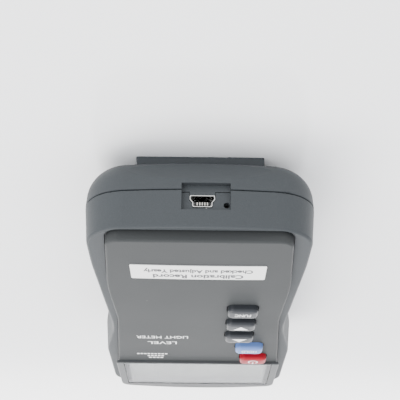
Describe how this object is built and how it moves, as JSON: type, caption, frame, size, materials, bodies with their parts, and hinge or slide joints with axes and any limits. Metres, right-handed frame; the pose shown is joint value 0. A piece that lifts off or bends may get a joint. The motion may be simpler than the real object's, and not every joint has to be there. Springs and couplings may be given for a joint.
{
  "type": "handheld light meter",
  "caption": "Handheld light meter with a waisted case, raised fascia, keys, display window, mini-USB port, fold-out stand and battery door.",
  "frame": {"origin": "middle of the case in plan, on the surface that the meter rests on with its back down", "axes": "+Z out of the front face, +Y towards the display end, USB end at -Y, +X to the right seen from the USB end with the front up"},
  "size_m": [0.0808, 0.1798, 0.0359],
  "materials": {
    "case_plastic": "fine moulded grain",
    "fascia_plastic": "fine moulded grain, satin",
    "bezel_plastic": "satin",
    "window_clear": "polished acrylic",
    "label_paper": "printed vinyl",
    "key_grey": "satin silicone",
    "key_blue": "satin silicone",
    "key_red": "satin silicone",
    "board_green": "solder mask",
    "chip_black": "moulded epoxy",
    "can_metal": "drawn",
    "port_metal": "plated steel",
    "port_black": "moulded",
    "contact_gold": "gold flash",
    "lamp_dark": "tinted lens",
    "frame_white": "moulded",
    "display_cell": "liquid crystal cell",
    "guide_clear": "clear acrylic",
    "strip_grey": "conductive elastomer",
    "tape_black": "adhesive tape",
    "switch_black": "moulded",
    "stem_white": "moulded",
    "mat_clear": "silicone",
    "stand_plastic": "fine grain",
    "pin_steel": "ground",
    "screw_steel": "zinc plated",
    "foot_rubber": "matt",
    "door_plastic": "fine moulded grain",
    "cell_wrap": "printed sleeve",
    "spring_plate": "nickel plated",
    "jack_black": "moulded"
  },
  "bodies": {
    "meter": {"front_cover": "case_plastic", "rear_cover": "case_plastic", "fascia_panel": "fascia_plastic", "display_bezel": "bezel_plastic", "window_tape": "tape_black", "display_window": "window_clear", "lcd_frame": "frame_white", "backlight": "guide_clear", "contact_strips": "strip_grey", "lcd_glass": "display_cell", "front_label": "label_paper", "key_switches": "switch_black", "switch_stems": "stem_white", "keypad_mat": "mat_clear", "main_board": "board_green", "processor_chip": "chip_black", "amplifier_chip": "chip_black", "clock_crystal": "can_metal", "board_capacitors": "can_metal", "usb_chip": "chip_black", "board_screws": "screw_steel", "usb_shell": "port_metal", "usb_tongue": "port_black", "usb_riser": "port_black", "usb_contacts": "contact_gold", "status_lamp": "lamp_dark", "probe_socket": "jack_black", "probe_socket_nut": "port_metal", "stand_pin": "pin_steel", "rubber_feet": "foot_rubber", "battery": "cell_wrap", "battery_studs": "spring_plate", "battery_contacts": "spring_plate", "case_screws": "screw_steel"},
    "key_function": {"key_function": "key_grey"},
    "key_down": {"key_down": "key_grey"},
    "key_up": {"key_up": "key_grey"},
    "key_hold": {"key_hold": "key_blue"},
    "key_power": {"key_power": "key_red"},
    "tilt_stand": {"tilt_stand": "stand_plastic"},
    "battery_door": {"battery_door": "door_plastic"}
  },
  "joints": [
    {"name": "key_function_press", "type": "slide", "parent": "meter", "child": "key_function", "axis": [0, 0, -1], "range_m": [0, 0.0008], "stiffness_N_per_m": 300, "springref_m": -0.0006},
    {"name": "key_down_press", "type": "slide", "parent": "meter", "child": "key_down", "axis": [0, 0, -1], "range_m": [0, 0.0008], "stiffness_N_per_m": 300, "springref_m": -0.0006},
    {"name": "key_up_press", "type": "slide", "parent": "meter", "child": "key_up", "axis": [0, 0, -1], "range_m": [0, 0.0008], "stiffness_N_per_m": 300, "springref_m": -0.0006},
    {"name": "key_hold_press", "type": "slide", "parent": "meter", "child": "key_hold", "axis": [0, 0, -1], "range_m": [0, 0.0008], "stiffness_N_per_m": 300, "springref_m": -0.0006},
    {"name": "key_power_press", "type": "slide", "parent": "meter", "child": "key_power", "axis": [0, 0, -1], "range_m": [0, 0.0008], "stiffness_N_per_m": 300, "springref_m": -0.0006},
    {"name": "stand_fold", "type": "hinge", "parent": "meter", "child": "tilt_stand", "pos_m": [0, -0.006, 0.0049], "axis": [1, 0, 0], "range_deg": [0, 65]},
    {"name": "battery_door_lift", "type": "slide", "parent": "meter", "child": "battery_door", "axis": [0, 0, -1], "range_m": [0, 0.02]}
  ]
}
